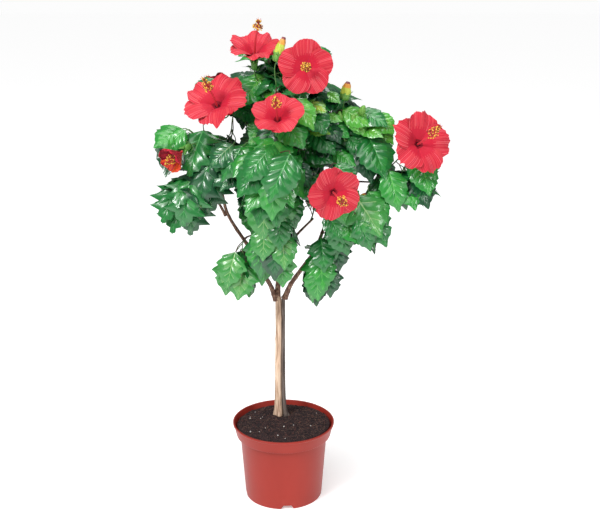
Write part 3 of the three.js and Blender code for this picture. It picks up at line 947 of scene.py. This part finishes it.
for foot, tip, face, shape, tint in sorted(laid, key=lambda row: (row[0] - heart).length):
    leaf(face_leaves, foot, tip, face, shape, tint, rng.uniform(0.30, 0.42), rng)
    grow(foot, (tip - foot).normalized(), STALK_GIRTH, GREEN_WOOD if rng.random() < 0.6 else RED_WOOD)
face_leaves.make("leaf", *[n for n in MASS_NODES if not n.startswith("back_")])

# Behind and between those, more leaves are seeded in each mass, and in the space round the boughs.
LEAVES_PER_AREA = 1400  # for each square metre of a mass's three faces
FULLER_BACK = 2.3  # times as many in a mass at the back, which has no face leaves
FEW = {"bloom": 2, "tip": 0, "spray": 1}  # behind a bloom, a tip or a spray of buds
INNER_LEAVES = 150

rng = random.Random(23)
inner = Heap("inner_leaves", *leaf_finishes)
back = Heap("back_leaves_mesh", *leaf_finishes)
sprays = []
spaces = [(node, *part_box(node)) for node in MASS_NODES]
spaces.append(("inner", place(.14, .34, .36), place(.76, .86, .92)))
for node, low, high in spaces:
    middle, half = (low + high) / 2, (high - low) / 2
    behind = node.startswith("back_")
    count = round(LEAVES_PER_AREA * (half.x * half.y + half.y * half.z + half.z * half.x))
    count = INNER_LEAVES if node == "inner" else FEW.get(node.rpartition("_")[2], count)
    for _ in range(round(count * FULLER_BACK) if behind else count):
        for _ in range(TRIES):
            ray = Vector((rng.gauss(0, 1), rng.gauss(0, 1), rng.gauss(0, 1))).normalized()
            outward = ray if node == "inner" else (middle - heart).normalized()
            ray = (ray + outward * 0.5).normalized()
            tip = middle + Vector(a * b for a, b in zip(ray, half)) * rng.uniform(0.5, 1.0) ** 0.6
            if tip.y < middle.y - 0.3 * half.y and not behind:
                continue
            lie = (ray * 0.6 + outward * 0.35 - UP * rng.uniform(0.2, 0.8)).normalized()
            foot = tip - lie * rng.uniform(0.050, 0.080)
            face = (ray + UP * 0.8).normalized()
            if fits(blade_points(foot, tip, face)):
                sprays.append((foot, tip, face, behind))
                break
for foot, tip, face, behind in sorted(sprays, key=lambda row: (row[0] - heart).length):
    # Leaves away from the back that lie within 0.17 m of the crown's heart are mostly given the deep tint, as
    # painted shade for the crown's inside.
    outer = (tip - heart).length > 0.17 or behind
    tint = rng.choice(("green", "bright", "green", "deep", "painted_sky_glint") if outer else ("deep", "deep", "green"))
    shape = rng.choice(("toothed", "toothed", "toothed", "lobed", "round"))
    leaf(back if behind else inner, foot, tip, face, shape, tint, rng.uniform(0.32, 0.42), rng)
    grow(foot, (tip - foot).normalized(), STALK_GIRTH, GREEN_WOOD if rng.random() < 0.5 else RED_WOOD)
inner.make("leaf")
back.make("leaf", *[n for n in MASS_NODES if n.startswith("back_")])


# ---- Buds --------------------------------------------------------------------------------------
# Long buds twist their petals to a point, yellow-green and flushed purple at the tip, in a green calyx.
# The young ones are small green cones ringed with thin bracts.

bud_finishes = [
    finish("bud_green", (0.130, 0.330, 0.045), 0.5, coat=0.2),
    finish("bud_yellow", (0.480, 0.560, 0.060), 0.5, coat=0.2),
    finish("bud_orange", (0.700, 0.300, 0.040), 0.5, coat=0.2),
    finish("bud_purple", (0.200, 0.030, 0.040), 0.5, coat=0.2),
]
GREEN, PALE, TAWNY, PURPLE = range(4)
buds = Heap("buds", *bud_finishes)

# Each bud: its mass, the places of its foot and tip in that mass's box, its girth, and if it is a long one.
BUDS = (
    ("top_right_bloom", (-.05, .5, .6), (.1, .5, 1.0), .0076, True),
    ("bud_spray", (.3, .4, .7), (.4, .35, 1.0), .0085, True),
    ("bud_spray", (.8, .4, .45), (.9, .35, .6), .0055, False),
    ("bud_spray", (.5, .4, .3), (.6, .35, .45), .0050, False),
    ("bud_spray", (.75, .4, .2), (.85, .35, .3), .0040, False),
    ("bud_spray", (.2, .4, .35), (.15, .35, .5), .0042, False),
    ("lower_right_leaves", (.45, .5, 1.15), (.55, .45, 1.3), .0044, True),
    ("front_leaves", (.45, .45, .95), (.45, .4, 1.05), .0040, False),
    ("back_top_leaves", (.5, .9, .4), (.5, .95, .7), .0078, True),
    ("back_left_leaves", (.4, .9, .3), (.35, .95, .6), .0070, True),
    ("back_upper_right_leaves", (.6, .8, 1.0), (.6, .85, 1.15), .0048, False),
)
BUD_RINGS = 15
HUB_GIRTH = 0.0014
# Where several stalks spread from one place on a shoot.
HUBS = (("bud_spray", .3, .3, .05), ("front_leaves", .45, .6, .9))
for hub in HUBS:
    hub = spot(*hub)
    grow(hub, UP, HUB_GIRTH, GREEN_WOOD)
    shoots.append(Shoot(hub, UP, HUB_GIRTH - 0.0001))
for node, foot, tip, girth, long in BUDS:
    foot, tip = spot(node, *foot), spot(node, *tip)
    heading = (tip - foot).normalized()
    path = [foot.lerp(tip, i / (BUD_RINGS - 1)) for i in range(BUD_RINGS)]
    widths = [girth * math.sin(math.pi * (0.16 + 0.70 * i / (BUD_RINGS - 1)) ** 0.85)
              for i in range(BUD_RINGS)]

    def twisted(i, angle):
        return 1 + 0.13 * math.cos(5 * (angle + i * 0.16))

    shades = [GREEN if i < 5 or not long else PALE if i < 10 else TAWNY if i < 13 else PURPLE
              for i in range(BUD_RINGS)]
    tube(buds, path, widths, 20, shades, twisted)
    calyx(buds, foot.lerp(tip, 0.30), heading, girth * 0.88, (tip - foot).length * 0.30, GREEN, rng, 8,
          1.35 if long else 2.6)
    grow(foot, heading, STALK_GIRTH, GREEN_WOOD)
buds.make("leaf")
twigs.make("young_bark")


# ---- Studio ------------------------------------------------------------------------------------
# A pale floor under soft light from large panels, with the camera a little above the crown.

white = finish("studio_floor", (0.92, 0.92, 0.92), 0.8, specular=0.1, glow=0.34)
floor_mesh = bpy.data.meshes.new("studio_floor")
floor_mesh.from_pydata([(-9, -9, 0), (9, -9, 0), (9, 9, 0), (-9, 9, 0)], [], [(0, 1, 2, 3)])
floor_mesh.materials.append(white)
floor = bpy.data.objects.new("studio_floor", floor_mesh)
bpy.context.scene.collection.objects.link(floor)


def softbox(name, position, aim, size, power):
    lamp = bpy.data.lights.new(name, "AREA")
    lamp.shape = "RECTANGLE"
    lamp.size, lamp.size_y = size
    lamp.energy = power
    holder = bpy.data.objects.new(name, lamp)
    holder.location = position
    holder.rotation_euler = (Vector(aim) - Vector(position)).to_track_quat("-Z", "Y").to_euler()
    bpy.context.scene.collection.objects.link(holder)


softbox("key_panel", (-1.5, -1.9, 2.3), (0, 0, 0.5), (0.7, 0.7), 44)
softbox("fill_panel", (1.9, -1.5, 1.5), (0, 0, 0.5), (0.5, 0.9), 15)
softbox("top_panel", (0.2, 0.4, 2.6), (0, 0, 0.5), (1.2, 1.0), 20)

sky = bpy.data.lights.new("even_light", "SUN")
sky.energy = 1.9
sky.angle = math.radians(60)
sky_holder = bpy.data.objects.new("even_light", sky)
sky_holder.rotation_euler = (math.radians(35), 0, math.radians(-25))
bpy.context.scene.collection.objects.link(sky_holder)

world = bpy.data.worlds.new("white_room")
world.use_nodes = True
room = world.node_tree
room.nodes["Background"].inputs["Color"].default_value = (1, 1, 1, 1)
rays = room.nodes.new("ShaderNodeLightPath")
level = room.nodes.new("ShaderNodeMapRange")
level.inputs["To Min"].default_value = 0.20  # what lights the plant
level.inputs["To Max"].default_value = 0.98  # what the camera sees behind it
room.links.new(rays.outputs["Is Camera Ray"], level.inputs["Value"])
room.links.new(level.outputs["Result"], room.nodes["Background"].inputs["Strength"])
bpy.context.scene.world = world
bpy.context.scene.view_settings.view_transform = "Standard"

lens = bpy.data.cameras.new("camera")
lens.lens = 70
camera = bpy.data.objects.new("camera", lens)
camera.location = EYE
camera.rotation_euler = (math.radians(90 - 17.8), 0, 0)
bpy.context.scene.collection.objects.link(camera)
bpy.context.scene.camera = camera
